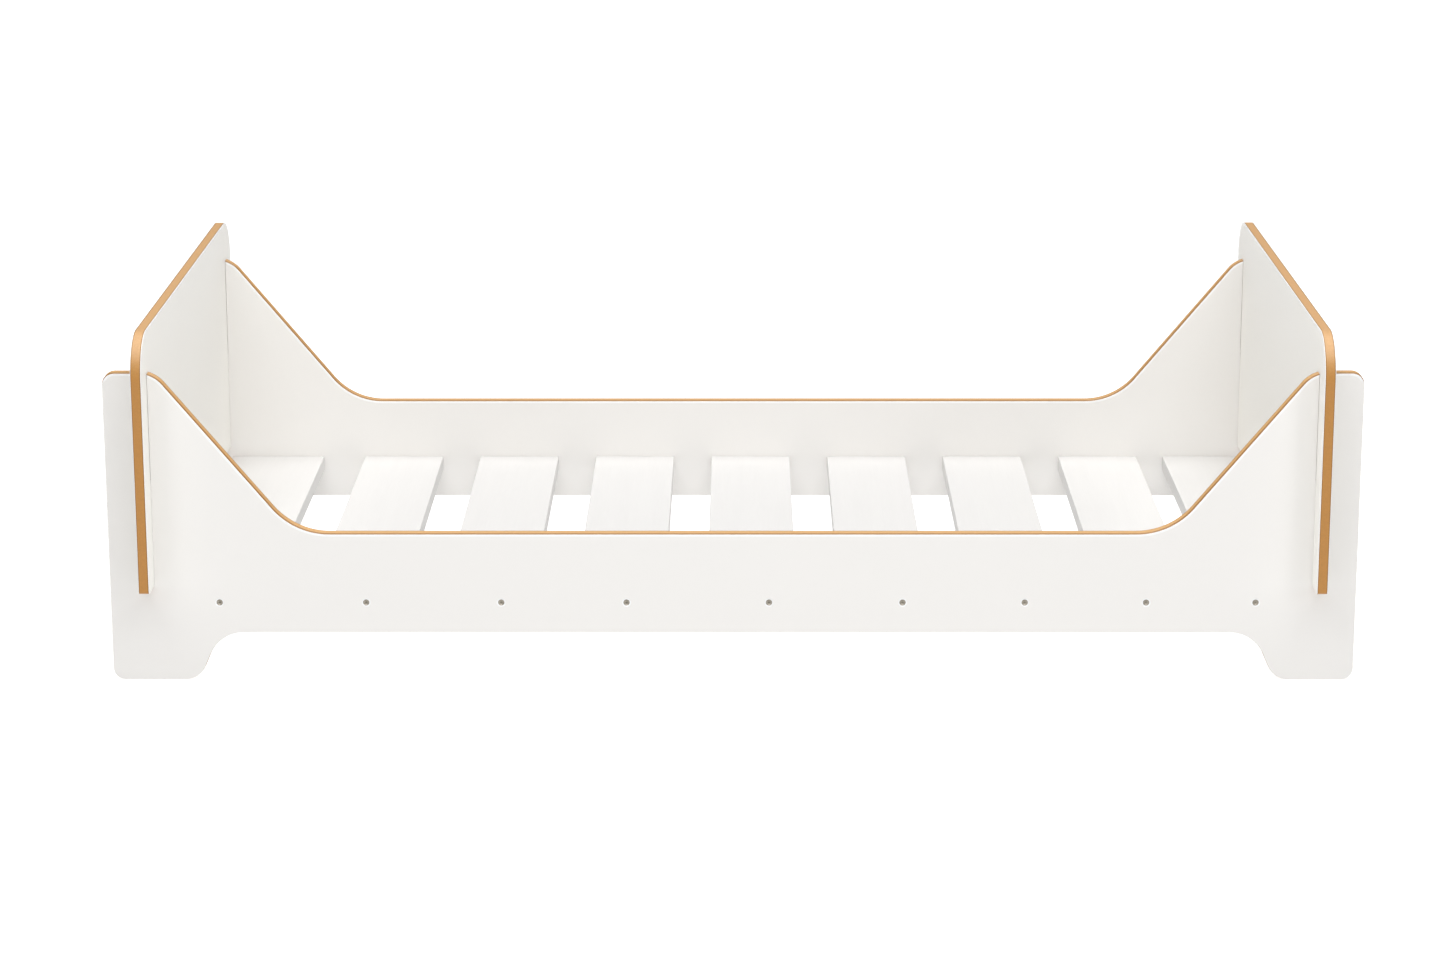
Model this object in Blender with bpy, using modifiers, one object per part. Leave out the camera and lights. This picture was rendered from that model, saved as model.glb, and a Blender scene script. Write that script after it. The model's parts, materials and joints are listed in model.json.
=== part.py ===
"""Toddler bed: two notched side panels, two end boards that drop into them, nine slats and their screws.

Metres, +Z up. The origin is on the floor under the middle of the bed. +X runs along the bed, from the
left end board to the right one, and +Y runs from the front side panel to the rear one.
"""

import math

import bmesh
import bpy
from mathutils import Matrix, Vector

# The mattress bay, which sets how long and how wide the bed is.
BAY_LENGTH = 1.420  # between the end boards, for a mattress 1.40 long
BAY_WIDTH = 0.706  # between the side panels, for a mattress 0.70 wide

# Side panels: tall ears at both ends, a low middle to climb over, and a foot at each end of the arch.
SIDE_THICKNESS = 0.016
SIDE_OVERHANG = 0.0414  # from the end board's outer face to the panel's end
EAR_TOP = 0.388
EAR_LENGTH = 0.062  # from the panel's end to where the slant starts down
SLANT_RUN = 0.167  # how far along the panel the slant takes to come down
LOW_TOP = 0.1865
FOOT_LENGTH = 0.102  # along the floor, up to the sharp corner that the foot's round replaces
FOOT_SLOPE = math.radians(66.7)  # the foot's inner edge, from the floor
FRONT_ARCH = 0.0606  # from the floor to the front panel's lower edge
REAR_ARCH = 0.0485  # the rear panel reaches lower
OUTER_CORNER_RADIUS = 0.015
EAR_RADIUS = 0.039
LOW_RADIUS = 0.089
FOOT_RADIUS = 0.028
ARCH_RADIUS = 0.046
ARCH_SHIFT = 0.0045  # the arch sits this much nearer the right foot

# End boards: plain boards that cross both side panels and stand proud of them all round.
END_THICKNESS = 0.0132
END_OVERHANG = 0.042  # from the side panel's outer face to the board's edge
END_BOTTOM = 0.121
END_TOP = 0.439
END_CORNER_RADIUS = 0.054

# Slats: the seven in the middle share one width and one pitch, and the first and last reach the end boards.
SLAT_COUNT = 9
SLAT_WIDTH = 0.110
FIRST_SLAT_WIDTH = 0.1305
LAST_SLAT_WIDTH = 0.1045
SLAT_THICKNESS = 0.020
SLAT_TOP = 0.106
SLAT_EDGE_RADIUS = 0.0015
END_SLAT_CLEARANCE = 0.001  # from an end board to the slat beside it
FIRST_SLAT_GAP = 0.058  # from the first slat to the second
LAST_SLAT_GAP = 0.037  # from the last slat but one to the last

# Connector screws: one through a side panel into each slat end.
SCREW_BELOW_TOP = 0.007  # from the slat's top face to the screw's axis
SCREW_OFFSETS = (0.013, 0.015, 0.018, 0.009, 0.021, 0.022, 0.009, -0.005, -0.015)  # off each slat's middle
SCREW_HEAD_RADIUS = 0.0035
SCREW_RIM = 0.0006
SCREW_CONE = 0.0018
SCREW_SHOULDER_RADIUS = 0.0025
SCREW_SHANK_RADIUS = 0.002
SCREW_SHOULDER_END = 0.020
SCREW_TIP = 0.003
SCREW_LENGTH = 0.050
SOCKET_FLATS = 0.003
SOCKET_DEPTH = 0.0016

GAP = 0.0003  # between pieces that touch
CUT_MARGIN = 0.005  # how far a cutter runs past the faces it cuts
CORNER_SHARE = 0.99  # of an edge, the most that the two rounds at its ends take together
WELD_DISTANCE = 1e-6
AXIS_MERGE = 1e-5
ARC_STEP = math.radians(6)
ROUND_STEPS = 16
SMOOTH_ANGLE = math.radians(30)

# Places that follow from the sizes above.
END_INNER_X = BAY_LENGTH / 2
END_OUTER_X = END_INNER_X + END_THICKNESS
SIDE_END_X = END_OUTER_X + SIDE_OVERHANG
SIDE_INNER_Y = BAY_WIDTH / 2
SIDE_OUTER_Y = SIDE_INNER_Y + SIDE_THICKNESS
END_EDGE_Y = SIDE_OUTER_Y + END_OVERHANG
LAP_MIDDLE = (END_BOTTOM + EAR_TOP) / 2  # the two notches of a crossing meet here
SCREW_Z = SLAT_TOP - SCREW_BELOW_TOP


def clear_scene():
    for obj in list(bpy.data.objects):
        bpy.data.objects.remove(obj, do_unlink=True)


def new_collection(name, rendered=True):
    collection = bpy.data.collections.new(name)
    collection.hide_render = not rendered
    bpy.context.scene.collection.children.link(collection)
    return collection


def make_material(name, color, roughness, metallic=0.0):
    material = bpy.data.materials.new(name)
    material.use_nodes = True
    shader = material.node_tree.nodes["Principled BSDF"]
    shader.inputs["Base Color"].default_value = (*color, 1.0)
    shader.inputs["Roughness"].default_value = roughness
    shader.inputs["Metallic"].default_value = metallic
    return material


def add_object(name, mesh, collection, material=None):
    obj = bpy.data.objects.new(name, mesh)
    collection.objects.link(obj)
    if material:
        mesh.materials.clear()
        mesh.materials.append(material)
    return obj


def make_cutter(obj):
    obj.hide_render = True
    obj.display_type = "WIRE"
    return obj


def cut(obj, cutters, name):
    boolean = obj.modifiers.new(name, "BOOLEAN")
    boolean.operation = "DIFFERENCE"
    boolean.solver = "EXACT"
    boolean.operand_type = "COLLECTION"
    boolean.collection = cutters


def corner_tangents(corners):
    """The length that each round takes from the edges beside it, limited so that neighbours don't meet."""
    points = [Vector(corner[:2]) for corner in corners]
    count = len(points)
    half_angles = []
    wanted = []
    for i, corner in enumerate(corners):
        to_last = points[i - 1] - points[i]
        to_next = points[(i + 1) % count] - points[i]
        half_angles.append(to_last.angle(to_next) / 2)
        wanted.append(corner[2] / math.tan(half_angles[i]))
    tangents = list(wanted)
    for i in range(count):
        j = (i + 1) % count
        edge = (points[j] - points[i]).length
        both = wanted[i] + wanted[j]
        if both > edge:
            tangents[i] = min(tangents[i], CORNER_SHARE * edge * wanted[i] / both)
            tangents[j] = min(tangents[j], CORNER_SHARE * edge * wanted[j] / both)
    return points, half_angles, tangents


def rounded_outline(corners):
    """A closed outline through (across, up, radius) corners, each sharp corner replaced by its arc."""
    points, half_angles, tangents = corner_tangents(corners)
    outline = []
    for i, point in enumerate(points):
        if tangents[i] == 0:
            outline.append(point)
            continue
        to_last = (points[i - 1] - point).normalized()
        to_next = (points[(i + 1) % len(points)] - point).normalized()
        radius = tangents[i] * math.tan(half_angles[i])
        center = point + (to_last + to_next).normalized() * radius / math.sin(half_angles[i])
        start = point + to_last * tangents[i] - center
        end = point + to_next * tangents[i] - center
        turn = start.angle_signed(end)
        steps = max(2, math.ceil(abs(turn) / ARC_STEP))
        for step in range(steps + 1):
            # angle_signed counts clockwise, and a rotation matrix counts anticlockwise.
            arm = Matrix.Rotation(-turn * step / steps, 2) @ start
            outline.append(center + arm)
    return outline


def board_mesh(name, corners, thickness):
    """A flat board with a rounded outline, as a mesh: the outline lies in local XY, the thickness along Z."""
    curve = bpy.data.curves.new(name, "CURVE")
    curve.dimensions = "2D"
    curve.fill_mode = "BOTH"
    curve.extrude = thickness / 2
    outline = rounded_outline(corners)
    spline = curve.splines.new("POLY")
    spline.points.add(len(outline) - 1)
    for spline_point, place in zip(spline.points, outline):
        spline_point.co = (place.x, place.y, 0, 1)
    spline.use_cyclic_u = True
    holder = bpy.data.objects.new(name, curve)
    bpy.context.scene.collection.objects.link(holder)
    bpy.context.view_layer.update()
    evaluated = holder.evaluated_get(bpy.context.evaluated_depsgraph_get())
    mesh = bpy.data.meshes.new_from_object(evaluated)
    bpy.data.objects.remove(holder, do_unlink=True)
    weld_mesh(mesh)
    return mesh


def weld_mesh(mesh):
    bm = bmesh.new()
    bm.from_mesh(mesh)
    bmesh.ops.remove_doubles(bm, verts=bm.verts, dist=WELD_DISTANCE)
    bmesh.ops.recalc_face_normals(bm, faces=bm.faces)
    bm.to_mesh(mesh)
    bm.free()


def box_mesh(name, low, high):
    size = Vector(high) - Vector(low)
    middle = (Vector(high) + Vector(low)) / 2
    mesh = bpy.data.meshes.new(name)
    bm = bmesh.new()
    bmesh.ops.create_cube(bm, size=1, matrix=Matrix.Translation(middle) @ Matrix.Diagonal((*size, 1)))
    bm.to_mesh(mesh)
    bm.free()
    return mesh


def side_corners(arch):
    """The side panel's outline, anticlockwise from its left foot, as (along X, up Z, radius)."""
    arch_x = SIDE_END_X - FOOT_LENGTH - arch / math.tan(FOOT_SLOPE)
    foot_x = SIDE_END_X - FOOT_LENGTH
    ear_x = SIDE_END_X - EAR_LENGTH
    low_x = ear_x - SLANT_RUN
    arch_corners = [(arch_x, arch, ARCH_RADIUS), (foot_x, 0, FOOT_RADIUS)]
    end_corners = [
        (SIDE_END_X, 0, OUTER_CORNER_RADIUS),
        (SIDE_END_X, EAR_TOP, OUTER_CORNER_RADIUS),
        (ear_x, EAR_TOP, EAR_RADIUS),
        (low_x, LOW_TOP, LOW_RADIUS),
    ]
    right = [(ARCH_SHIFT + x, z, radius) for x, z, radius in arch_corners] + end_corners
    left = [(-x, z, radius) for x, z, radius in reversed(end_corners)]
    left += [(ARCH_SHIFT - x, z, radius) for x, z, radius in reversed(arch_corners)]
    return right + left


def end_corners():
    """The end board's outline, as (along Y, up Z, radius)."""
    return [
        (-END_EDGE_Y, END_BOTTOM, 0),
        (END_EDGE_Y, END_BOTTOM, 0),
        (END_EDGE_Y, END_TOP, END_CORNER_RADIUS),
        (-END_EDGE_Y, END_TOP, END_CORNER_RADIUS),
    ]


def make_side_notch_cutters(collection):
    """One box for each end board, from the middle of the crossing up through the ears of both panels."""
    for side, sign in (("left", -1), ("right", 1)):
        near_x, far_x = sorted((sign * (END_INNER_X - GAP), sign * (END_OUTER_X + GAP)))
        low = (near_x, -SIDE_OUTER_Y - CUT_MARGIN, LAP_MIDDLE - GAP / 2)
        high = (far_x, SIDE_OUTER_Y + CUT_MARGIN, EAR_TOP + CUT_MARGIN)
        mesh = box_mesh(f"side_notch_{side}", low, high)
        make_cutter(add_object(f"cut_side_notch_{side}", mesh, collection))


def make_end_notch_cutters(collection):
    """One box for each side panel, from under the end boards up to the middle of the crossing."""
    for side, sign in (("front", -1), ("rear", 1)):
        near_y, far_y = sorted((sign * (SIDE_INNER_Y - GAP), sign * (SIDE_OUTER_Y + GAP)))
        low = (-END_OUTER_X - CUT_MARGIN, near_y, END_BOTTOM - CUT_MARGIN)
        high = (END_OUTER_X + CUT_MARGIN, far_y, LAP_MIDDLE + GAP / 2)
        mesh = box_mesh(f"end_notch_{side}", low, high)
        make_cutter(add_object(f"cut_end_notch_{side}", mesh, collection))


def screw_profile(head_top, grow):
    """The turned outline of a connector screw, from its head (up) to its tip, grown all round by grow."""
    tip = -SCREW_LENGTH - grow
    return [
        (0, head_top),
        (SCREW_HEAD_RADIUS + grow, head_top),
        (SCREW_HEAD_RADIUS + grow, -SCREW_RIM - grow / 2),
        (SCREW_SHOULDER_RADIUS + grow, -SCREW_RIM - SCREW_CONE - grow / 2),
        (SCREW_SHOULDER_RADIUS + grow, -SCREW_SHOULDER_END - grow),
        (SCREW_SHANK_RADIUS + grow, -SCREW_SHOULDER_END - grow),
        (SCREW_SHANK_RADIUS + grow, tip + SCREW_TIP),
        (0, tip),
    ]


def turned_mesh(name, profile, collection):
    """The solid swept by a profile at +X around local Z, as a mesh."""
    mesh = bpy.data.meshes.new(name)
    edges = [(i, i + 1) for i in range(len(profile) - 1)]
    mesh.from_pydata([(radius, 0, z) for radius, z in profile], edges, [])
    holder = add_object(name, mesh, collection)
    screw = holder.modifiers.new("turn", "SCREW")
    screw.axis = "Z"
    screw.steps = ROUND_STEPS
    screw.render_steps = ROUND_STEPS
    screw.use_merge_vertices = True
    screw.merge_threshold = AXIS_MERGE
    bpy.context.view_layer.update()
    evaluated = holder.evaluated_get(bpy.context.evaluated_depsgraph_get())
    turned = bpy.data.meshes.new_from_object(evaluated)
    bpy.data.objects.remove(holder, do_unlink=True)
    weld_mesh(turned)
    return turned


def screw_mesh(collection, cutters):
    """One connector screw: a countersunk head with a hexagon socket, a plain shoulder and a shank."""
    holder = add_object("screw_blank", turned_mesh("screw", screw_profile(0, 0), collection), collection)
    socket = bpy.data.meshes.new("socket")
    bm = bmesh.new()
    corner_radius = SOCKET_FLATS / 2 / math.cos(math.pi / 6)
    bmesh.ops.create_cone(
        bm, cap_ends=True, segments=6, radius1=corner_radius, radius2=corner_radius, depth=2 * SOCKET_DEPTH
    )
    bm.to_mesh(socket)
    bm.free()
    cutter = make_cutter(add_object("cut_socket", socket, cutters))
    boolean = holder.modifiers.new("socket", "BOOLEAN")
    boolean.operation = "DIFFERENCE"
    boolean.solver = "EXACT"
    boolean.object = cutter
    bpy.context.view_layer.update()
    evaluated = holder.evaluated_get(bpy.context.evaluated_depsgraph_get())
    mesh = bpy.data.meshes.new_from_object(evaluated)
    bpy.data.objects.remove(holder, do_unlink=True)
    bpy.data.objects.remove(cutter, do_unlink=True)
    mesh.shade_smooth()
    mesh.set_sharp_from_angle(angle=SMOOTH_ANGLE)
    return mesh


def slat_spans():
    """Each slat's (middle, width) along X: one pitch between the two slats that reach the end boards."""
    first = -END_INNER_X + END_SLAT_CLEARANCE + FIRST_SLAT_WIDTH / 2
    last = END_INNER_X - END_SLAT_CLEARANCE - LAST_SLAT_WIDTH / 2
    second = first + FIRST_SLAT_WIDTH / 2 + FIRST_SLAT_GAP + SLAT_WIDTH / 2
    last_but_one = last - LAST_SLAT_WIDTH / 2 - LAST_SLAT_GAP - SLAT_WIDTH / 2
    pitch = (last_but_one - second) / (SLAT_COUNT - 3)
    between = [(second + i * pitch, SLAT_WIDTH) for i in range(SLAT_COUNT - 2)]
    return [(first, FIRST_SLAT_WIDTH), *between, (last, LAST_SLAT_WIDTH)]


def screw_places():
    """(name ending, transform) for each screw: local +Z points out of the side panel's outer face."""
    places = []
    for side, sign in (("front", -1), ("rear", 1)):
        facing = Matrix.Rotation(math.radians(-90 * sign), 4, "X")
        for i, ((middle, _), offset) in enumerate(zip(slat_spans(), SCREW_OFFSETS)):
            head = Vector((middle + offset, sign * (SIDE_OUTER_Y - GAP), SCREW_Z))
            places.append((f"{side}_{i + 1}", Matrix.Translation(head) @ facing))
    return places


def make_side_panels(parts, notches, holes):
    upright = Matrix.Rotation(math.radians(90), 4, "X")
    for side, sign, arch in (("front", -1, FRONT_ARCH), ("rear", 1, REAR_ARCH)):
        name = f"side_panel_{side}"
        laminate = make_material(f"{name}_laminate", (0.87, 0.85, 0.82), 0.38)
        panel = add_object(name, board_mesh(name, side_corners(arch), SIDE_THICKNESS), parts, laminate)
        panel.matrix_world = Matrix.Translation((0, sign * (SIDE_INNER_Y + SIDE_OUTER_Y) / 2, 0)) @ upright
        cut(panel, notches, "end_board_notches")
        cut(panel, holes, "screw_holes")


def make_end_boards(parts, notches):
    # Local X goes to world Y and local Y to world Z, so the board's thickness lies along X.
    upright = Matrix(((0, 0, 1, 0), (1, 0, 0, 0), (0, 1, 0, 0), (0, 0, 0, 1)))
    for side, sign in (("left", -1), ("right", 1)):
        name = f"end_board_{side}"
        laminate = make_material(f"{name}_laminate", (0.86, 0.85, 0.83), 0.38)
        board = add_object(name, board_mesh(name, end_corners(), END_THICKNESS), parts, laminate)
        board.matrix_world = Matrix.Translation((sign * (END_INNER_X + END_OUTER_X) / 2, 0, 0)) @ upright
        cut(board, notches, "side_panel_notches")


def make_slats(parts, holes):
    paint = make_material("slat_paint", (0.93, 0.92, 0.90), 0.45)
    for i, (middle, width) in enumerate(slat_spans()):
        half = Vector((width / 2, SIDE_INNER_Y - GAP, SLAT_THICKNESS / 2))
        slat = add_object(f"slat_{i + 1}", box_mesh(f"slat_{i + 1}", -half, half), parts, paint)
        slat.matrix_world = Matrix.Translation((middle, 0, SLAT_TOP - SLAT_THICKNESS / 2))
        bevel = slat.modifiers.new("eased_edges", "BEVEL")
        bevel.width = SLAT_EDGE_RADIUS
        bevel.segments = 2
        cut(slat, holes, "screw_holes")


def make_screws(parts, cutters):
    steel = make_material("screw_steel", (0.32, 0.32, 0.33), 0.35, 1.0)
    mesh = screw_mesh(parts, cutters)
    for ending, place in screw_places():
        screw = add_object(f"screw_{ending}", mesh, parts, steel)
        screw.matrix_world = place


def make_hole_cutters(holes):
    mesh = turned_mesh("screw_hole", screw_profile(CUT_MARGIN, GAP), holes)
    for ending, place in screw_places():
        cutter = make_cutter(add_object(f"cut_hole_{ending}", mesh, holes))
        cutter.matrix_world = place


def main():
    clear_scene()
    parts = new_collection("toddler_bed")
    cutters = new_collection("cutters", rendered=False)
    side_notches = new_collection("side_notches", rendered=False)
    end_notches = new_collection("end_notches", rendered=False)
    holes = new_collection("screw_holes", rendered=False)
    make_side_notch_cutters(side_notches)
    make_end_notch_cutters(end_notches)
    make_hole_cutters(holes)
    make_side_panels(parts, side_notches, holes)
    make_end_boards(parts, end_notches)
    make_slats(parts, holes)
    make_screws(parts, cutters)


main()
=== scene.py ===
# %% [markdown]
# # A toddler bed cut from laminated board
#
# The bed is flat-pack furniture: two notched side panels, two end boards that drop into the notches, nine
# painted slats, and a steel connector screw through the panel into each end of every slat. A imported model
# already fixes where each piece is and how it moves. This lesson gives each piece its finished shape and
# surface, one short step at a time, and never moves a piece.
#
# The first cell loads that model.

import json
import math

import bmesh
import bpy
from mathutils import Matrix, Vector

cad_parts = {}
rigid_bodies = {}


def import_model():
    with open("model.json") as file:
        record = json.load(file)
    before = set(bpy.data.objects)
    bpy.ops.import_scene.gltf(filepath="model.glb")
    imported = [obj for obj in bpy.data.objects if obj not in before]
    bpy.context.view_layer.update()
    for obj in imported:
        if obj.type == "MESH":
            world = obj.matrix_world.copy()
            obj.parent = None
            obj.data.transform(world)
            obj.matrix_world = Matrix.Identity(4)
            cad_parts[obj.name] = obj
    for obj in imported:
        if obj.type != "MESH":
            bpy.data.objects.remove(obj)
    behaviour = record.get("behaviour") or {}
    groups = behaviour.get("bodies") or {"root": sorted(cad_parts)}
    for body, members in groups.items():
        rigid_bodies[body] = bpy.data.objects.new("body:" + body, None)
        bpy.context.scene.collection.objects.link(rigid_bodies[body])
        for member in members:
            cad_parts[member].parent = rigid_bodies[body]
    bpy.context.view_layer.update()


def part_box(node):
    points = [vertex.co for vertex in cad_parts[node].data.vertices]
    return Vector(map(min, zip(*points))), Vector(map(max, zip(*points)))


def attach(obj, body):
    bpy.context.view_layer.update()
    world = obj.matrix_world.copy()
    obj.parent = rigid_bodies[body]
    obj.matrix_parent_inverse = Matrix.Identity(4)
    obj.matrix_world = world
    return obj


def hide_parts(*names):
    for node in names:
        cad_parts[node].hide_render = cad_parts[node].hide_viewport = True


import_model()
mm = 0.001

# %% [markdown]
# ## The camera
#
# Product pictures of furniture are taken from a few metres away with a long lens, so that upright edges stay
# nearly upright. A short lens close by would splay the end boards outwards. The camera here stands about five
# metres from the middle of the bed, a little above a seated viewer's eyes, and looks slightly down, which
# shows the slats over the low middle of the front panel.
#
# A camera looks along its own -Z. Turning it up by a right angle about X aims it at the horizon, and taking
# the tilt off that angle aims it down. The roll is under a tenth of a degree: no tripod is perfectly level.

# %% Set up the camera
image_width = 1445
focal_length = 3793.4
look_down = 0.24883
turn_right = -0.00482
roll = 0.0012

camera_data = bpy.data.cameras.new("camera")
camera_data.sensor_width = 36
camera_data.lens = camera_data.sensor_width * focal_length / image_width
camera = bpy.data.objects.new("camera", camera_data)
camera.location = (0.01055, -4.84849, 1.39072)
camera.rotation_euler = (math.pi / 2 - look_down, roll, -turn_right)
bpy.context.scene.collection.objects.link(camera)
bpy.context.scene.camera = camera
print("lens, in mm:", round(camera_data.lens, 1))

# %% [markdown]
# ## The studio floor
#
# The bed is white and stands in a white studio, which is the hardest case for exposure. The floor has to burn
# out to paper white, while the panels, only a little darker, keep their soft shading. A photographer lights
# the backdrop separately, with lamps that don't reach the subject.
#
# A rendered floor can do the same. Its paper glows brightly for camera rays, so it is seen as plain white,
# and weakly for every other ray, so it throws back a soft light from below. The Light Path node tells the two
# kinds of ray apart.

# %% Make the floor
floor_half = 30.0
floor_mesh = bpy.data.meshes.new("studio_floor")
bm = bmesh.new()
bmesh.ops.create_grid(bm, x_segments=1, y_segments=1, size=floor_half)
bm.to_mesh(floor_mesh)
bm.free()
floor = bpy.data.objects.new("studio_floor", floor_mesh)
bpy.context.scene.collection.objects.link(floor)


def glow_by_ray(tree, seen, felt):
    """A strength that is seen by camera rays and felt by all others."""
    ray_kind = tree.nodes.new("ShaderNodeLightPath")
    strength = tree.nodes.new("ShaderNodeMath")
    strength.operation = "MULTIPLY_ADD"
    tree.links.new(ray_kind.outputs["Is Camera Ray"], strength.inputs[0])
    strength.inputs[1].default_value = seen - felt
    strength.inputs[2].default_value = felt
    return strength.outputs[0]


paper = bpy.data.materials.new("studio_paper")
paper.use_nodes = True
paper_shader = paper.node_tree.nodes["Principled BSDF"]
paper_shader.inputs["Base Color"].default_value = (0.45, 0.45, 0.45, 1)
paper_shader.inputs["Roughness"].default_value = 0.9
paper_shader.inputs["Specular IOR Level"].default_value = 0.1
paper_shader.inputs["Emission Color"].default_value = (1, 1, 1, 1)
paper_glow = glow_by_ray(paper.node_tree, seen=1.0, felt=0.53)
paper.node_tree.links.new(paper_glow, paper_shader.inputs["Emission Strength"])
floor_mesh.materials.append(paper)
print("floor, in m:", 2 * floor_half)

# %% [markdown]
# ## The light
#
# The panels read almost the same brightness wherever they face, so the light is a tent: a wide softbox
# overhead, a second one further forward, a weak one behind, and a dim world to fill what is left. The one
# further forward reaches over the front panel, and keeps the inside of the bed as bright as the outside.
#
# Two small lamps stand to the front left and front right. They do one job that the tent can't. Each end board
# stands proud of the panel, and shades the narrow ear behind it from the lamp on the other side. The right
# lamp is the stronger, so the left ear is the darker.

# %% Light the studio
world = bpy.data.worlds.new("studio")
world.use_nodes = True
world_shader = world.node_tree.nodes["Background"]
world_shader.inputs["Color"].default_value = (1, 1, 1, 1)
world_glow = glow_by_ray(world.node_tree, seen=1.0, felt=0.16)
world.node_tree.links.new(world_glow, world_shader.inputs["Strength"])
bpy.context.scene.world = world

softboxes = [
    # name, place, width, depth, watts
    ("softbox_overhead", (0, 0, 3.5), 4.0, 4.0, 122),
    ("softbox_forward", (0, -2.0, 3.2), 4.0, 1.5, 57),
    ("softbox_back", (0, 4.2, 3.0), 3.0, 2.0, 12),
    ("softbox_right", (3.4, -4.2, 1.8), 1.5, 1.5, 31),
    ("softbox_left", (-3.4, -4.2, 1.8), 1.5, 1.5, 22),
]
for name, place, width, depth, watts in softboxes:
    lamp = bpy.data.lights.new(name, "AREA")
    lamp.shape = "RECTANGLE"
    lamp.size = width
    lamp.size_y = depth
    lamp.energy = watts
    holder = bpy.data.objects.new(name, lamp)
    holder.location = place
    holder.rotation_euler = (-Vector(place)).to_track_quat("-Z", "Y").to_euler()
    bpy.context.scene.collection.objects.link(holder)
bpy.context.scene.view_settings.view_transform = "Standard"
bpy.context.scene.view_settings.look = "None"
print("lamps:", len(softboxes))

# %% [markdown]
# ## Sizes read from the model
#
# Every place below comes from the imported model's own boxes, so nothing has to be fitted by eye. What a box
# can't tell is how round a corner is or how steep an edge runs. Those few sizes are the maker's, and stand
# here by name.

# %% Read the sizes
front_low, front_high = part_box("side_panel_front")
rear_low, rear_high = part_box("side_panel_rear")
left_low, left_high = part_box("end_board_left")
right_low, right_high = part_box("end_board_right")

side_end_x = front_high.x
side_outer_y = rear_high.y
side_inner_y = rear_low.y
ear_top = front_high.z
end_inner_x = right_low.x
end_outer_x = right_high.x
end_edge_y = right_high.y
end_bottom = right_low.z
end_top = right_high.z
notch_gap = 0.3 * mm
lap_middle = (end_bottom + ear_top) / 2

ear_length = 62 * mm
slant_run = 167 * mm
low_top = 186.5 * mm
foot_length = 102 * mm
foot_slope = math.radians(66.7)
front_arch = 60.6 * mm
rear_arch = 48.5 * mm
arch_shift = 4.5 * mm
arch_radius = 46 * mm
foot_radius = 28 * mm
ear_radius = 15 * mm
slant_top_radius = 39 * mm
slant_foot_radius = 89 * mm
end_top_radius = 54 * mm
end_bottom_radius = 4 * mm
slat_numbers = range(1, 10)
print("side panel thickness, in mm:", round((side_outer_y - side_inner_y) / mm, 1))
print("end board thickness, in mm:", round((end_outer_x - end_inner_x) / mm, 1))

# %% [markdown]
# ## Drawing an outline with round corners
#
# A router cuts these boards from flat sheets, so every outline is straight runs joined by arcs that touch them
# smoothly. Blender could round a corner with a Bevel modifier, but a bevel's width is not a radius, and the
# corners here have seven of them. So the outline is drawn the way a draughtsman does it: list the sharp
# corners, each with its radius, and let a helper swing the arc that touches both edges.
#
# The arc of radius r in a corner of half angle a starts r / tan(a) away from the corner, and its centre is
# r / sin(a) away, on the line that halves the corner.

# %% Helper: round the corners of an outline
arc_step = math.radians(3)


def rounded_outline(corners):
    """(across, up, radius) corners, anticlockwise, to a list of points with an arc in each round corner."""
    points = [Vector(corner[:2]) for corner in corners]
    outline = []
    for i, point in enumerate(points):
        radius = corners[i][2]
        if radius == 0:
            outline.append(point)
            continue
        to_last = (points[i - 1] - point).normalized()
        to_next = (points[(i + 1) % len(points)] - point).normalized()
        half = to_last.angle(to_next) / 2
        center = point + (to_last + to_next).normalized() * radius / math.sin(half)
        arm = point + to_last * radius / math.tan(half) - center
        last_arm = point + to_next * radius / math.tan(half) - center
        turn = -arm.angle_signed(last_arm)
        steps = math.ceil(abs(turn) / arc_step)
        for step in range(steps + 1):
            outline.append(center + Matrix.Rotation(turn * step / steps, 2) @ arm)
    return outline


# %% [markdown]
# ## Cutting the notches
#
# Where two boards cross, each has a slot half as deep as the crossing, and the slots slide into each other.
# A Boolean would cut the slot, but it would also leave its walls without the thin white line that the
# laminate shows on every other edge. Cutting the slot into the outline first means the walls are made with
# the rest of the edge, laminate and all. Only the rounding differs: a notch is sawn after the edges have been
# rounded over, so its own corners stay nearly sharp, and `slide_shares` notes that for each of them.

# %% Helper: cut a notch into an outline
notch_ease = 0.05
least_run = 1e-9
small_step = 1e-4
slide_shares = {}


def notched(outline, low, high, end, opens_up):
    """The outline with a slot between low and high across it, open at the top or bottom, as deep as end."""
    sign = 1 if opens_up else -1
    cut = []
    for i, start in enumerate(outline):
        finish = outline[(i + 1) % len(outline)]
        on_open_side = sign * (start.y - end) > 0
        if not (on_open_side and low < start.x < high):
            cut.append(start)
        if not on_open_side or abs(finish.x - start.x) < least_run:
            continue
        shares = sorted((wall - start.x) / (finish.x - start.x) for wall in (low, high))
        for share in shares:
            if not 0 < share < 1:
                continue
            rim = start.lerp(finish, share)
            floor_point = Vector((rim.x, end))
            ahead = start.lerp(finish, min(1, share + small_step))
            entering = low < ahead.x < high
            cut += [rim, floor_point] if entering else [floor_point, rim]
            slide_shares[tuple(rim)] = Vector((notch_ease, 1))
            slide_shares[tuple(floor_point)] = Vector((notch_ease, notch_ease))
    return cut


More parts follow.
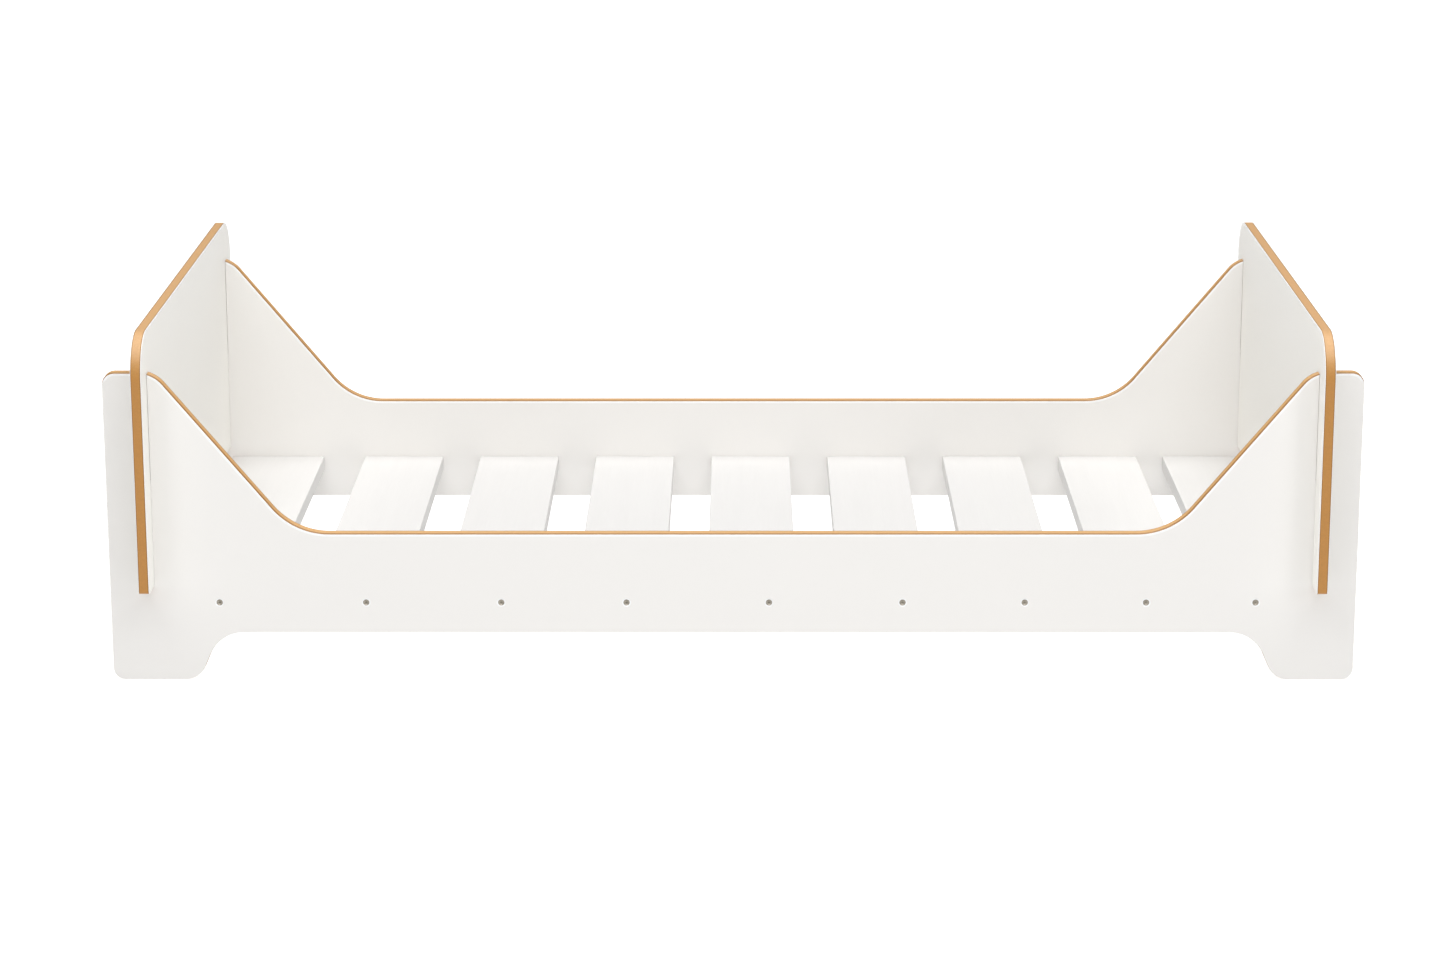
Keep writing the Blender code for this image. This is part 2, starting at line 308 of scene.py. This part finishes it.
# %% [markdown]
# ## What a board's edge looks like
#
# The boards are wood fibre pressed hard and oiled to a caramel brown, with a white laminate sheet on both
# faces. The end boards have a thick sheet and barely eased edges. Edge-on, there is a hairline of white, then
# a darker line where oil and glue meet, then the core. The side panels, which a child climbs over, have a
# thin sheet and well rounded edges. There the core comes round the corner, as a darker border by the white.
#
# One way to make it is a flat extrusion with a texture for the stripes. The stripes would blur when seen up
# close. Here the edge is built from rows instead. Each row is the same outline, moved in by a fraction of a
# millimetre and placed at its own depth in the board, so each layer is real geometry with its own material.
# The rows further in lie flat on the face or in the core. They add no shape, and are there so that a material
# can tell how near the edge or the glue line it is.

# %% Measure the layers of a board
# the painted highlight along an edge reaches this far onto the face past the rounding
highlight_width = 1.5 * mm
fade_width = 2.4 * mm
glue_line_width = 0.12 * mm
glue_line_depth = 0.06 * mm
sheet_steps = 3
core_steps = 4


def edge_rows(thickness, sheet, rounding, shade_border_depth):
    """(move in, place across the board, layer) rows from the front face to the back face."""
    half = thickness / 2
    front = [(rounding + fade_width, half, "laminate"), (rounding + highlight_width, half, "laminate")]
    sheet_ends = math.acos(1 - sheet / rounding) if sheet < rounding else math.pi / 2
    turns = [(sheet_ends * step / sheet_steps, "laminate") for step in range(sheet_steps)]
    if sheet < rounding:
        rest = math.pi / 2 - sheet_ends
        turns += [(sheet_ends + rest * step / core_steps, "core") for step in range(core_steps + 1)]
    else:
        turns.append((math.pi / 2, "laminate"))
    for turn, layer in turns:
        front.append((rounding * (1 - math.sin(turn)), half - rounding * (1 - math.cos(turn)), layer))
    if sheet > rounding:
        glue = half - sheet
        front.append((0, glue, "laminate"))
        front.append((glue_line_depth, glue - glue_line_width / 2, "core"))
        front.append((0, glue - glue_line_width, "core"))
    front.append((0, half - shade_border_depth, "core"))
    back = [(move_in, -across, layer) for move_in, across, layer in reversed(front)]
    return front + back


# the last number is how deep from each face the core's painted edge shade reaches
side_edge = {"sheet": 0.2 * mm, "rounding": 1.9 * mm, "shade_border_depth": 3.6 * mm}
end_edge = {"sheet": 0.6 * mm, "rounding": 0.45 * mm, "shade_border_depth": 2.2 * mm}
print("rows across a side panel's edge:", len(edge_rows(side_outer_y - side_inner_y, **side_edge)))
print("rows across an end board's edge:", len(edge_rows(end_outer_x - end_inner_x, **end_edge)))

# %% [markdown]
# Moving a whole outline in by the same distance means sliding each point along the line that halves its
# corner, a little further where the corner is sharp. With n1 and n2 the inward normals of the two edges that
# meet there, the slide is (n1 + n2) / (1 + n1 . n2).

# %% Helper: how each outline point moves inwards
least_spacing = 0.05 * mm


def inward_moves(outline):
    """For each point of an anticlockwise outline, the vector that moves it in by one unit."""
    normals = []
    for i, point in enumerate(outline):
        along = (outline[(i + 1) % len(outline)] - point).normalized()
        normals.append(Vector((-along.y, along.x)))
    moves = []
    for i in range(len(outline)):
        before = normals[i - 1]
        after = normals[i]
        moves.append((before + after) / (1 + before.dot(after)))
    return moves


def without_repeats(outline):
    """The outline without points that nearly coincide, which have no direction between them."""
    return [p for i, p in enumerate(outline) if (p - outline[i - 1]).length > least_spacing]


# %% [markdown]
# ## From outline to board
#
# The helper makes one ring of vertices per row, joins neighbouring rings with quads, and closes the first
# and last ring with one large face each. Each vertex also stores two numbers for the materials: `depth`, how
# deep in the board it lies, which places the core's painted shade, and `rim`, which is one along the painted
# highlight on the laminate's edge and falls to zero on the open face. Hands and knees reach the edges that
# look up, so these are rounded over further and carry the painted highlight, as they catch the light from
# above. Nobody rubs the feet, and their edges are only eased; edges that look down get no painted highlight.

# %% Helper: build a board
least_rounding = 0.25


def ramp(low, high):
    """A function that is 0 below low, 1 above high, and straight between."""
    return lambda value: min(1, max(0, (value - low) / (high - low)))


def build_board(name, outline, thickness, edge, wear_and_highlight, to_world, materials):
    """A laminated board as an object. Local X and Y hold the outline and Z the thickness.

    The fifth argument says how worn and rounded an edge is that looks up by that much, from -1, down, to 1,
    up, and how strong the painted highlight along it is."""
    outline = without_repeats(outline)
    moves = inward_moves(outline)
    shares = []
    for point, move in zip(outline, moves):
        rounded = least_rounding + (1 - least_rounding) * wear_and_highlight(-move.normalized().y)
        shares.append(slide_shares.get(tuple(point), Vector((rounded, rounded))))
    rows = edge_rows(thickness, **edge)
    outermost = rows[0][0]
    bm = bmesh.new()
    depth = bm.verts.layers.float.new("depth")
    rim = bm.verts.layers.float.new("rim")
    rings = []
    for move_in, across, _ in rows:
        ring = []
        for point, move, share in zip(outline, moves, shares):
            place = point + move * share * move_in
            vertex = bm.verts.new(to_world @ Vector((place.x, place.y, across)))
            vertex[depth] = thickness / 2 - abs(across)
            # painted highlight: rim holds how strongly the laminate is painted white along this edge, zero on
            # the open face
            highlighted = move_in < outermost and share.y > notch_ease
            vertex[rim] = wear_and_highlight(-move.normalized().y) if highlighted else 0
            ring.append(vertex)
        rings.append(ring)
    count = len(outline)
    half_way = len(rows) // 2
    for k, (upper, lower) in enumerate(zip(rings, rings[1:])):
        layer = rows[k][2] if k < half_way else rows[k + 1][2]
        for i in range(count):
            j = (i + 1) % count
            face = bm.faces.new((upper[i], lower[i], lower[j], upper[j]))
            face.material_index = 1 if layer == "core" or k == half_way - 1 else 0
    bm.faces.new(rings[0])
    bm.faces.new(reversed(rings[-1]))
    bmesh.ops.recalc_face_normals(bm, faces=bm.faces)
    mesh = bpy.data.meshes.new(name)
    bm.to_mesh(mesh)
    bm.free()
    board = bpy.data.objects.new(name, mesh)
    bpy.context.scene.collection.objects.link(board)
    for material in materials:
        mesh.materials.append(material)
    print(name, "faces:", len(mesh.polygons))
    return board


# %% [markdown]
# ## Building a material from nodes
#
# A node material is a small network. Writing it with a helper that makes a node, sets its inputs and returns
# it keeps each recipe short enough to read. Colours are given in linear light, as Blender's sockets expect.

# %% Helper: nodes in one line
def add_node(tree, kind, settings=None, inputs=None):
    """A new node of this kind, with settings on the node and values or links on its inputs."""
    node = tree.nodes.new(kind)
    for name, value in (settings or {}).items():
        setattr(node, name, value)
    for name, value in (inputs or {}).items():
        if isinstance(value, bpy.types.NodeSocket):
            tree.links.new(value, node.inputs[name])
        else:
            node.inputs[name].default_value = value
    return node


def new_material(name):
    """A material with a plain Principled shader: the material, its node tree and the shader."""
    material = bpy.data.materials.new(name)
    material.use_nodes = True
    return material, material.node_tree, material.node_tree.nodes["Principled BSDF"]


def shaded(color, share=1):
    """The colour as four channels, darker where share is below one."""
    return (*[channel * share for channel in color], 1)


def mix_colors(tree, share, first, second):
    """A colour that is first where share is 0 and second where it is 1."""
    return add_node(tree, "ShaderNodeMix", {"data_type": "RGBA"}, {0: share, 6: first, 7: second}).outputs[2]


def remap(tree, value, old_range, new_range, settings=None):
    """The value stretched so that old_range becomes new_range, and held at both ends."""
    inputs = dict(enumerate((value, *old_range, *new_range)))
    return add_node(tree, "ShaderNodeMapRange", settings, inputs).outputs[0]


def calculate(tree, operation, *values):
    """The result of one sum, such as ADD, on these values."""
    return add_node(tree, "ShaderNodeMath", {"operation": operation}, dict(enumerate(values))).outputs[0]


def add_bump(tree, shader, height, strength, distance):
    """Fine relief on the shader's normal."""
    bump = add_node(tree, "ShaderNodeBump", {}, {"Height": height, "Strength": strength, "Distance": distance})
    tree.links.new(bump.outputs[0], shader.inputs["Normal"])


# %% [markdown]
# ## Fine grain, for every finish on the bed
#
# Nothing real is one flat colour. Laminate has a faint cloudiness and a very fine pebble, pressed fibre shows
# specks, and paint over wood keeps a trace of grain. All three are noise at two sizes, so one node group
# serves them all. It takes the coordinates, the two scales and how far the grain is stretched, and gives a
# coarse mask, a fine mask, and a height that is the fine one plus half the coarse one.

# %% Node group: two sizes of grain
def new_group(name, inputs, outputs):
    """An empty node group with these sockets: the group, its input node and its output node."""
    group = bpy.data.node_groups.new(name, "ShaderNodeTree")
    for in_out, sockets in (("INPUT", inputs), ("OUTPUT", outputs)):
        for socket, kind in sockets.items():
            group.interface.new_socket(socket, in_out=in_out, socket_type=f"NodeSocket{kind}")
    return group, group.nodes.new("NodeGroupInput"), group.nodes.new("NodeGroupOutput")


def make_grain_group():
    group, start, end = new_group(
        "two_size_grain",
        {"Vector": "Vector", "Stretch": "Vector", "Coarse Scale": "Float", "Fine Scale": "Float"},
        {"Coarse": "Float", "Fine": "Float", "Height": "Float"},
    )
    stretched = add_node(
        group,
        "ShaderNodeVectorMath",
        {"operation": "MULTIPLY"},
        {0: start.outputs["Vector"], 1: start.outputs["Stretch"]},
    )
    masks = {}
    for size, detail, roughness in (("Coarse", 3.0, 0.55), ("Fine", 4.0, 0.6)):
        noise = add_node(group, "ShaderNodeTexNoise", {}, {"Detail": detail, "Roughness": roughness})
        group.links.new(stretched.outputs[0], noise.inputs["Vector"])
        group.links.new(start.outputs[f"{size} Scale"], noise.inputs["Scale"])
        group.links.new(noise.outputs[0], end.inputs[size])
        masks[size] = noise.outputs[0]
    height = calculate(group, "MULTIPLY_ADD", masks["Coarse"], 0.5, masks["Fine"])
    group.links.new(height, end.inputs["Height"])
    return group


grain_group = make_grain_group()


def add_grain(tree, stretch, coarse_scale, fine_scale):
    """The grain group in this tree, fed with the object's own coordinates."""
    place = tree.nodes.new("ShaderNodeTexCoord")
    node = tree.nodes.new("ShaderNodeGroup")
    node.node_tree = grain_group
    tree.links.new(place.outputs["Object"], node.inputs["Vector"])
    node.inputs["Stretch"].default_value = stretch
    node.inputs["Coarse Scale"].default_value = coarse_scale
    node.inputs["Fine Scale"].default_value = fine_scale
    return node


# %% [markdown]
# ## White laminate
#
# The sheet is a melamine-hard, satin, slightly warm white. Three things keep it from looking like plastic
# foam: a cloudiness of about one part in a hundred, a roughness that drifts with it, and a pebble so fine that
# it only softens reflections. Along the edges that look up the sheet is smoother, and a painted highlight
# makes it whiter there. The `rim` numbers stored in the mesh say where that is, and a little grain on top
# keeps the line from looking ruled.

# %% Node group: painted edge highlight
def make_edge_highlight_group():
    group, start, end = new_group("painted_edge_highlight", {"Rim": "Float", "Grain": "Float"}, {"Mask": "Float"})
    # the grain is a half on average, so this adds nothing on average
    uneven = calculate(group, "MULTIPLY_ADD", start.outputs["Grain"], 0.3, -0.15)
    edge = calculate(group, "ADD", start.outputs["Rim"], uneven)
    mask = remap(group, edge, (0.25, 0.85), (0.0, 1.0), {"interpolation_type": "SMOOTHSTEP"})
    group.links.new(mask, end.inputs["Mask"])
    return group


edge_highlight_group = make_edge_highlight_group()


# %% Material: laminate
# the white of the painted highlight, along upward edges and in the ring round each screw hole
highlight_white = (0.99, 0.99, 0.985)
polished_roughness = 0.25


def make_laminate(name, color):
    material, tree, shader = new_material(name)
    grain = add_grain(tree, stretch=(1, 1, 1), coarse_scale=7, fine_scale=900)
    cloud = mix_colors(tree, grain.outputs["Coarse"], shaded(color, 0.985), shaded(color))
    rim = add_node(tree, "ShaderNodeAttribute", {"attribute_name": "rim"})
    wear_and_highlight = tree.nodes.new("ShaderNodeGroup")
    wear_and_highlight.node_tree = edge_highlight_group
    tree.links.new(rim.outputs["Fac"], wear_and_highlight.inputs["Rim"])
    tree.links.new(grain.outputs["Fine"], wear_and_highlight.inputs["Grain"])
    mask = wear_and_highlight.outputs["Mask"]
    # painted highlight: where the mask is one, the base colour turns to the highlight white
    tree.links.new(mix_colors(tree, mask, cloud, shaded(highlight_white)), shader.inputs["Base Color"])
    drift = remap(tree, grain.outputs["Coarse"], (0.3, 0.7), (0.34, 0.44))
    rough = add_node(tree, "ShaderNodeMix", {"data_type": "FLOAT"}, {0: mask, 2: drift, 3: polished_roughness})
    tree.links.new(rough.outputs[0], shader.inputs["Roughness"])
    add_bump(tree, shader, grain.outputs["Fine"], strength=0.12, distance=0.05 * mm)
    return material


side_laminate = make_laminate("side_laminate", (0.90, 0.883, 0.857))
end_laminate = make_laminate("end_laminate", (0.965, 0.95, 0.903))
print("laminates:", side_laminate.name, end_laminate.name)

# %% [markdown]
# ## Oiled fibre core
#
# The core is ground wood pressed so hard that it has no grain direction, only specks. Oil turns it caramel.
# A darker border next to the laminate is painted shade, where the edge turns away from the light. Edges that
# look up are painted a paler brown for the light from above, and the surface's own normal tells which they
# are.
# A thin coat on top stands for the cured oil: it is nearly invisible face-on and lightens an edge that is
# seen at a flat angle.

# %% Material: core
def make_core(name, top_lit_brown, oiled, edge):
    material, tree, shader = new_material(name)
    grain = add_grain(tree, stretch=(1, 1, 1), coarse_scale=420, fine_scale=1700)
    surface = tree.nodes.new("ShaderNodeNewGeometry")
    facing = add_node(tree, "ShaderNodeSeparateXYZ", {}, {0: surface.outputs["Normal"]})
    # painted light: faces that look up get a paler brown for the light from above
    painted_top_light = remap(tree, facing.outputs["Z"], (0.1, 0.8), (0.0, 1.0))
    body = mix_colors(tree, painted_top_light, shaded(oiled), shaded(top_lit_brown))
    specks = remap(tree, grain.outputs["Height"], (0.60, 0.90), (0.3, 0.0))
    depth = add_node(tree, "ShaderNodeAttribute", {"attribute_name": "depth"})
    shade_border_depth = edge["shade_border_depth"]
    # painted shade: the core darkens towards the laminate on each face
    painted_edge_shade = remap(tree, depth.outputs["Fac"], (shade_border_depth * 0.6, shade_border_depth), (0.9, 0.0))
    darkest = calculate(tree, "MAXIMUM", painted_edge_shade, specks)
    # the dark brown serves both the real specks and the painted edge shade; body already holds the painted top
    # light
    tree.links.new(mix_colors(tree, darkest, body, shaded(oiled, 0.55)), shader.inputs["Base Color"])
    rough = remap(tree, grain.outputs["Fine"], (0.3, 0.7), (0.42, 0.58))
    tree.links.new(rough, shader.inputs["Roughness"])
    add_bump(tree, shader, grain.outputs["Height"], strength=0.35, distance=0.1 * mm)
    shader.inputs["Coat Weight"].default_value = 0.35
    shader.inputs["Coat Roughness"].default_value = 0.35
    return material


# each core's first colour is the paler brown painted on as light from above
oiled_brown = (0.545, 0.245, 0.045)
side_core = make_core("side_core", (0.76, 0.44, 0.17), oiled_brown, side_edge)
end_core = make_core("end_core", (0.68, 0.39, 0.16), oiled_brown, end_edge)
print("cores:", side_core.name, end_core.name)

# %% [markdown]
# ## The side panels
#
# Each side panel is a tall ear at both ends, a slant down to a low middle that a toddler can climb over, and
# two feet with an arch between them. The outline is listed once for the right half and mirrored for the left,
# apart from the arch, which sits a few millimetres to the right. The rear panel reaches a little lower
# between its feet, so its arch is flatter.
#
# The board lies flat in its own coordinates. A turn of a quarter about X stands it up.

# %% Build the side panels
def side_outline(arch):
    ear_x = side_end_x - ear_length
    foot_x = side_end_x - foot_length
    arch_corners = [(foot_x - arch / math.tan(foot_slope), arch, arch_radius), (foot_x, 0, foot_radius)]
    end_corners = [
        (side_end_x, 0, ear_radius),
        (side_end_x, ear_top, ear_radius),
        (ear_x, ear_top, slant_top_radius),
        (ear_x - slant_run, low_top, slant_foot_radius),
    ]
    right_half = [(arch_shift + x, z, radius) for x, z, radius in arch_corners] + end_corners
    left_half = [(-x, z, radius) for x, z, radius in reversed(end_corners)]
    left_half += [(arch_shift - x, z, radius) for x, z, radius in reversed(arch_corners)]
    outline = rounded_outline(right_half + left_half)
    for low, high in ((end_inner_x, end_outer_x), (-end_outer_x, -end_inner_x)):
        outline = notched(outline, low - notch_gap, high + notch_gap, lap_middle - notch_gap / 2, True)
    return outline


# edges that look up are rounded further and carry a stronger painted highlight
side_wear_and_highlight = ramp(0.1, 0.5)
side_boards = {}
for side, sign, arch in (("front", -1, front_arch), ("rear", 1, rear_arch)):
    middle = Matrix.Translation((0, sign * (side_outer_y + side_inner_y) / 2, 0))
    upright = middle @ Matrix.Rotation(math.pi / 2, 4, "X")
    side_boards[side] = build_board(
        f"{side}_side_board",
        side_outline(arch),
        side_outer_y - side_inner_y,
        side_edge,
        side_wear_and_highlight,
        upright,
        (side_laminate, side_core),
    )

# %% [markdown]
# ## The end boards
#
# An end board is a rectangle with well rounded top corners, and a slot in its lower edge for each
# side panel. It stands proud of the side panels by the width of two fingers, which stops the crossing from
# splitting and gives a parent something to lift by.

# %% Build the end boards
def end_outline():
    corners = [
        (-end_edge_y, end_bottom, end_bottom_radius),
        (end_edge_y, end_bottom, end_bottom_radius),
        (end_edge_y, end_top, end_top_radius),
        (-end_edge_y, end_top, end_top_radius),
    ]
    outline = rounded_outline(corners)
    for low, high in ((side_inner_y, side_outer_y), (-side_outer_y, -side_inner_y)):
        outline = notched(outline, low - notch_gap, high + notch_gap, lap_middle + notch_gap / 2, False)
    return outline


# edges that look up are rounded further and carry a stronger painted highlight
end_wear_and_highlight = ramp(-0.6, -0.2)
end_boards = {}
standing_across = Matrix(((0, 0, 1, 0), (1, 0, 0, 0), (0, 1, 0, 0), (0, 0, 0, 1)))
for side, sign in (("left", -1), ("right", 1)):
    middle = Matrix.Translation((sign * (end_outer_x + end_inner_x) / 2, 0, 0))
    end_boards[side] = build_board(
        f"{side}_end_board",
        end_outline(),
        end_outer_x - end_inner_x,
        end_edge,
        end_wear_and_highlight,
        middle @ standing_across,
        (end_laminate, end_core),
    )
    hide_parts(f"end_board_{side}")
    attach(end_boards[side], f"{side}_end")

# %% [markdown]
# ## Countersunk holes for the screws
#
# Nine screws go through each side panel and on into the slats' ends. Their heads sit in countersinks, flush
# with the laminate. Holes through a finished solid are what a Boolean is good at, so each hole is a turned
# plug that is subtracted. The plug carries the core's material, and Blender gives it to the walls that the
# cut leaves. The collar of the drill has pressed a shallow ring into the laminate round each mouth, and that
# ring is painted whiter than the sheet, as a painted highlight.

# %% Helper: turn a profile into a solid
def turned_mesh(name, profile, steps):
    """The closed solid that a (radius, height) profile sweeps round Z. It starts and ends on the axis."""
    bm = bmesh.new()
    rings = []
    for radius, height in profile:
        if radius == 0:
            rings.append([bm.verts.new((0, 0, height))])
            continue
        angles = [2 * math.pi * step / steps for step in range(steps)]
        rings.append([bm.verts.new((radius * math.cos(a), radius * math.sin(a), height)) for a in angles])
    for upper, lower in zip(rings, rings[1:]):
        for step in range(steps):
            places = ((upper, step), (lower, step), (lower, step + 1), (upper, step + 1))
            corners = [ring[i % len(ring)] for ring, i in places]
            bm.faces.new(list(dict.fromkeys(corners)))
    bmesh.ops.recalc_face_normals(bm, faces=bm.faces)
    mesh = bpy.data.meshes.new(name)
    bm.to_mesh(mesh)
    bm.free()
    return mesh


# %% Make the plug
turning_steps = 48
head_radius = 3.5 * mm
head_rim = 0.6 * mm
cone_depth = 1.8 * mm
shoulder_radius = 2.5 * mm
shoulder_end = 20 * mm
shank_radius = 2.0 * mm
screw_length = 50 * mm
hole_gap = 0.3 * mm
mouth = head_radius + hole_gap
chamfer = 1.7 * mm
chamfer_depth = 0.25 * mm
above = 2 * mm
hole_profile = [
    (0, above),
    (mouth + chamfer, above),
    (mouth + chamfer, 0),
    (mouth, -chamfer_depth),
    (mouth, -head_rim - hole_gap),
    (shoulder_radius + hole_gap, -head_rim - cone_depth - hole_gap),
    (shoulder_radius + hole_gap, -shoulder_end - hole_gap),
    (shank_radius + hole_gap, -shoulder_end - hole_gap),
    (shank_radius + hole_gap, -screw_length),
    (0, -screw_length - hole_gap),
]
hole_mesh = turned_mesh("hole_plug", hole_profile, turning_steps)
# painted highlight: the pressed ring round each mouth takes the highlight white
hole_mesh.materials.append(make_laminate("highlight_ring_laminate", highlight_white))
hole_mesh.materials.append(side_core)
for face in hole_mesh.polygons:
    face.material_index = 0 if face.center.z > -chamfer_depth else 1
print("hole, mouth to shank, in mm:", round(2 * mouth / mm, 1), round(2 * (shank_radius + hole_gap) / mm, 1))

# %% [markdown]
# Each screw's place is read from the box of the screw it stands for: the middle of the box across the panel,
# and the end of the box that faces outwards. A quarter turn about X points local Z out of the panel.

# %% Find the screws and cut their holes
def screw_places(side):
    sign = -1 if side == "front" else 1
    places = []
    for number in slat_numbers:
        low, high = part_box(f"screw_{side}_{number}")
        middle = (low + high) / 2
        head = Vector((middle.x, max(high.y * sign, low.y * sign) * sign, middle.z))
        places.append(Matrix.Translation(head) @ Matrix.Rotation(-sign * math.pi / 2, 4, "X"))
    return places


def cut_screw_holes(piece, places):
    """Subtract a plug at each place and keep the result as the piece's own mesh."""
    plugs = bpy.data.collections.new("plugs")
    bpy.context.scene.collection.children.link(plugs)
    for place in places:
        plug = bpy.data.objects.new("plug", hole_mesh)
        plug.matrix_world = place
        plugs.objects.link(plug)
    boolean = piece.modifiers.new("screw_holes", "BOOLEAN")
    boolean.operation = "DIFFERENCE"
    boolean.operand_type = "COLLECTION"
    boolean.collection = plugs
    boolean.material_mode = "TRANSFER"
    bpy.context.view_layer.update()
    evaluated = piece.evaluated_get(bpy.context.evaluated_depsgraph_get())
    piece.data = bpy.data.meshes.new_from_object(evaluated)
    piece.modifiers.clear()
    for plug in list(plugs.objects):
        bpy.data.objects.remove(plug)
    bpy.data.collections.remove(plugs)


front_screws = screw_places("front")
rear_screws = screw_places("rear")
for side, places in (("front", front_screws), ("rear", rear_screws)):
    board = side_boards[side]
    cut_screw_holes(board, places)
    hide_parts(f"side_panel_{side}")
    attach(board, "frame")
    print(board.name, "with holes, faces:", len(board.data.polygons))

# %% [markdown]
# ## Smooth arcs and flat faces
#
# The arcs are made of short flats, which smooth shading hides. Smooth shading alone would also bend the light
# across the large flat faces, as if they were cushions. The Weighted Normal modifier puts that right: at each
# corner it lets the largest face decide, so faces stay flat and only the rounded edges turn the light.

# %% Shade the boards
def shade_flat_and_round(piece, sharp_angle):
    """Smooth shading that keeps large faces flat, and edges sharper than sharp_angle crisp."""
    piece.data.shade_smooth()
    piece.data.set_sharp_from_angle(angle=math.radians(sharp_angle))
    weighted = piece.modifiers.new("flat_faces", "WEIGHTED_NORMAL")
    weighted.keep_sharp = True
    weighted.weight = 100


for board in [*side_boards.values(), *end_boards.values()]:
    shade_flat_and_round(board, sharp_angle=40)

# %% [markdown]
# ## Painted slats
#
# The slats are solid wood, planed, with their edges eased, and painted white. Paint never hides wood
# completely: a trace of grain runs along the slat, and the brush leaves a satin sheen. The paint is cooler
# and darker than the laminate. The slats face the overhead lamps, and a whiter paint would burn out.

# %% Material: painted wood
def make_slat_paint(name, color):
    material, tree, shader = new_material(name)
    grain = add_grain(tree, stretch=(1, 0.05, 1), coarse_scale=60, fine_scale=420)
    tint = mix_colors(tree, grain.outputs["Coarse"], shaded(color, 0.955), shaded(color))
    tree.links.new(tint, shader.inputs["Base Color"])
    rough = remap(tree, grain.outputs["Fine"], (0.3, 0.7), (0.40, 0.52))
    tree.links.new(rough, shader.inputs["Roughness"])
    add_bump(tree, shader, grain.outputs["Height"], strength=0.25, distance=0.1 * mm)
    return material


slat_paint = make_slat_paint("slat_paint", (0.755, 0.744, 0.730))

# %% Build the slats
slat_edge = 1.2 * mm
edge_segments = 4
for number in slat_numbers:
    low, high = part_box(f"slat_{number}")
    size = high - low
    mesh = bpy.data.meshes.new(f"slat_board_{number}")
    bm = bmesh.new()
    place = Matrix.Translation((low + high) / 2) @ Matrix.Diagonal((*size, 1))
    bmesh.ops.create_cube(bm, size=1, matrix=place)
    bmesh.ops.bevel(bm, geom=bm.edges, offset=slat_edge, segments=edge_segments, profile=0.5, affect="EDGES")
    bm.to_mesh(mesh)
    bm.free()
    mesh.materials.append(slat_paint)
    slat = bpy.data.objects.new(f"slat_board_{number}", mesh)
    bpy.context.scene.collection.objects.link(slat)
    cut_screw_holes(slat, [front_screws[number - 1], rear_screws[number - 1]])
    shade_flat_and_round(slat, sharp_angle=40)
    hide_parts(f"slat_{number}")
    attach(slat, "frame")
    print(slat.name, "in mm:", [round(side / mm, 1) for side in size], "faces:", len(slat.data.polygons))

# %% [markdown]
# ## Connector screws
#
# A connector screw has a countersunk head with a hexagon socket in a shallow dish, and dull grey plating. The
# dish is what makes it read as a screw from afar. Its lower half looks up at the light and its upper half
# looks down at the floor, so each head is light below and dark above. The head is turned, so its face keeps
# fine rings from the lathe. Each screw is its own object with its origin at the middle of its head, which
# lets the material count the rings from the object's own axis.

# %% Material: turned steel
def make_screw_steel(name, color):
    material, tree, shader = new_material(name)
    place = tree.nodes.new("ShaderNodeTexCoord")
    sideways = {0: place.outputs["Object"], 1: (1, 1, 0)}
    flat = add_node(tree, "ShaderNodeVectorMath", {"operation": "MULTIPLY"}, sideways)
    radius = add_node(tree, "ShaderNodeVectorMath", {"operation": "LENGTH"}, {0: flat.outputs[0]})
    count = {"W": radius.outputs["Value"], "Scale": 9000.0}
    rings = add_node(tree, "ShaderNodeTexNoise", {"noise_dimensions": "1D"}, count).outputs[0]
    tree.links.new(mix_colors(tree, rings, shaded(color, 0.7), shaded(color)), shader.inputs["Base Color"])
    tree.links.new(remap(tree, rings, (0.3, 0.7), (0.3, 0.5)), shader.inputs["Roughness"])
    add_bump(tree, shader, rings, strength=0.3, distance=0.03 * mm)
    shader.inputs["Metallic"].default_value = 0.45
    return material


screw_steel = make_screw_steel("screw_steel", (0.50, 0.455, 0.38))

# %% Turn one screw and cut its socket
socket_flats = 2.5 * mm
socket_depth = 2.4 * mm
socket_sides = 6
drill_point = 0.5 * mm
above_head = 1 * mm
tip_length = 3 * mm
edge_round = 0.2 * mm
arc_middle = 0.3  # how far inside its corner an arc's middle lies, as a share of the radius
dish_radius = 3.1 * mm
dish_depth = 1.5 * mm
dish_shares = [step / 6 for step in range(7)]
dish = [(dish_radius * share, -dish_depth * (1 - share**2)) for share in dish_shares]
screw_profile = [
    *dish,
    (head_radius - edge_round, 0),
    (head_radius - edge_round * arc_middle, -edge_round * arc_middle),
    (head_radius, -edge_round),
    (head_radius, -head_rim),
    (shoulder_radius, -head_rim - cone_depth),
    (shoulder_radius, -shoulder_end),
    (shank_radius, -shoulder_end),
    (shank_radius, -screw_length + tip_length),
    (0, -screw_length),
]
socket_radius = socket_flats / 2 / math.cos(math.pi / socket_sides)
socket_profile = [
    (0, above_head),
    (socket_radius, above_head),
    (socket_radius, -socket_depth),
    (0, -socket_depth - drill_point),
]

screw = bpy.data.objects.new("screw_blank", turned_mesh("connector_screw", screw_profile, turning_steps))
socket = bpy.data.objects.new("socket_plug", turned_mesh("socket_plug", socket_profile, socket_sides))
bpy.context.scene.collection.objects.link(screw)
bpy.context.scene.collection.objects.link(socket)
boolean = screw.modifiers.new("socket", "BOOLEAN")
boolean.object = socket
bpy.context.view_layer.update()
screw_mesh = bpy.data.meshes.new_from_object(screw.evaluated_get(bpy.context.evaluated_depsgraph_get()))
bpy.data.objects.remove(screw)
bpy.data.objects.remove(socket)
screw_mesh.materials.append(screw_steel)
screw_mesh.shade_smooth()
screw_mesh.set_sharp_from_angle(angle=math.radians(25))
print("screw faces:", len(screw_mesh.polygons))

# %% Place the screws
for side, places in (("front", front_screws), ("rear", rear_screws)):
    for number, place in enumerate(places, start=1):
        piece = bpy.data.objects.new(f"connector_{side}_{number}", screw_mesh)
        bpy.context.scene.collection.objects.link(piece)
        piece.matrix_world = place
        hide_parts(f"screw_{side}_{number}")
        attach(piece, "frame")
print("screws:", len(front_screws) + len(rear_screws))
